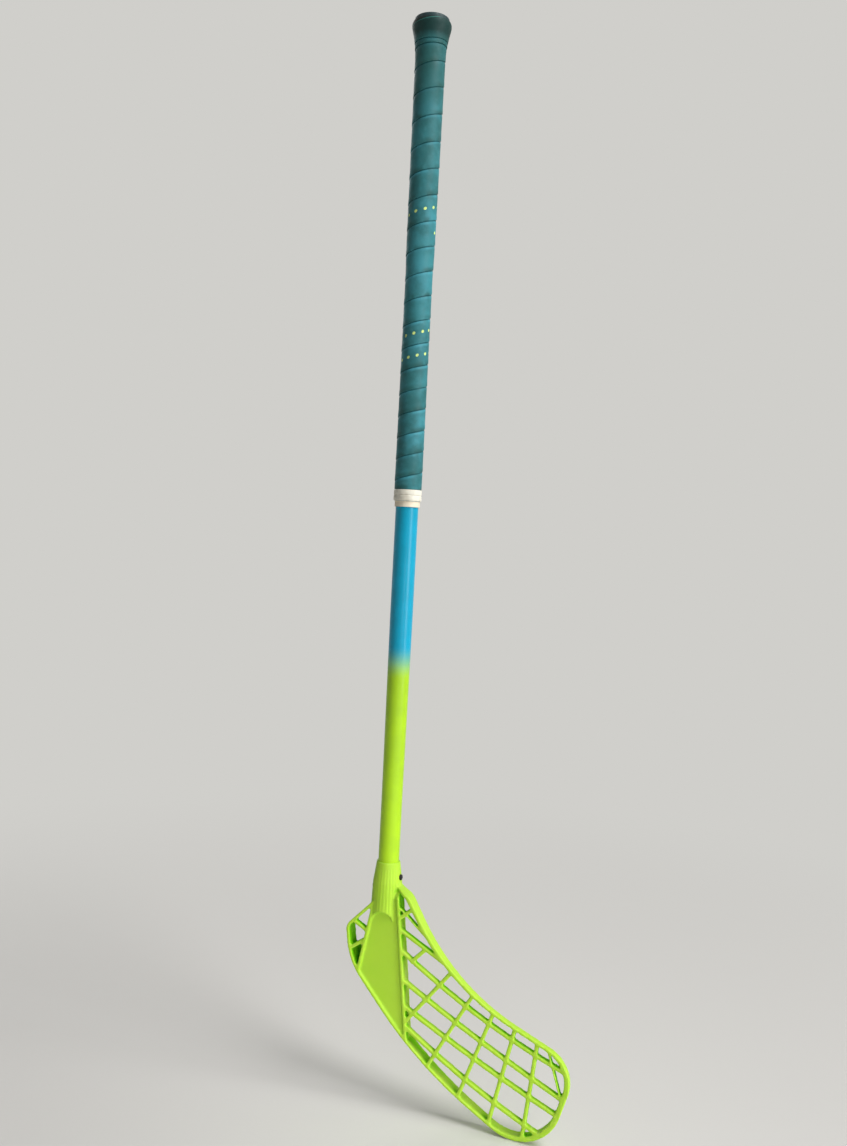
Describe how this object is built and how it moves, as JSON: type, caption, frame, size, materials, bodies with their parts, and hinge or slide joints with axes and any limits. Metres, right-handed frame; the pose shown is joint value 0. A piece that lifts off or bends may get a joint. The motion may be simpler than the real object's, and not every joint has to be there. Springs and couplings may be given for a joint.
{
  "type": "floorball stick",
  "caption": "Floorball stick: a hollow shaft with a wound grip and a pull-out butt cap, and a hooked lattice blade screwed over its lower end.",
  "frame": {"origin": "centre of the butt cap's flat top face", "axes": "+Z along the shaft and out of the butt, +X towards the blade's toe, -Y the side that the blade's open front looks to"},
  "size_m": [0.2262, 0.0434, 1.0498],
  "materials": {
    "shaft_lacquer": "lacquered fibre composite, blue fading to lime",
    "cap_rubber": "moulded rubber",
    "underlay_foam": "closed-cell foam",
    "grip_wrap": "soft matt grip tape with plain dots",
    "ring_rubber": "smooth rubber",
    "finishing_film": "thin adhesive tape",
    "blade_plastic": "satin moulded polyethylene",
    "black_screw": "blackened steel"
  },
  "bodies": {
    "stick": {"shaft": "shaft_lacquer", "grip_underlay": "underlay_foam", "grip_tape": "grip_wrap", "grip_ring": "ring_rubber", "finishing_tape": "finishing_film", "blade": "blade_plastic"},
    "butt_cap": {"butt_cap": "cap_rubber"},
    "toe_side_screw": {"toe_side_screw": "black_screw"},
    "heel_side_upper_screw": {"heel_side_upper_screw": "black_screw"},
    "heel_side_lower_screw": {"heel_side_lower_screw": "black_screw"}
  },
  "joints": [
    {"name": "cap_pull", "type": "slide", "parent": "stick", "child": "butt_cap", "axis": [0, 0, 1], "range_m": [0, 0.035]},
    {"name": "toe_side_screw_out", "type": "slide", "parent": "stick", "child": "toe_side_screw", "axis": [1, 0, 0], "range_m": [0, 0.012]},
    {"name": "heel_side_upper_screw_out", "type": "slide", "parent": "stick", "child": "heel_side_upper_screw", "axis": [-1, 0, 0], "range_m": [0, 0.012]},
    {"name": "heel_side_lower_screw_out", "type": "slide", "parent": "stick", "child": "heel_side_lower_screw", "axis": [-1, 0, 0], "range_m": [0, 0.012]}
  ]
}
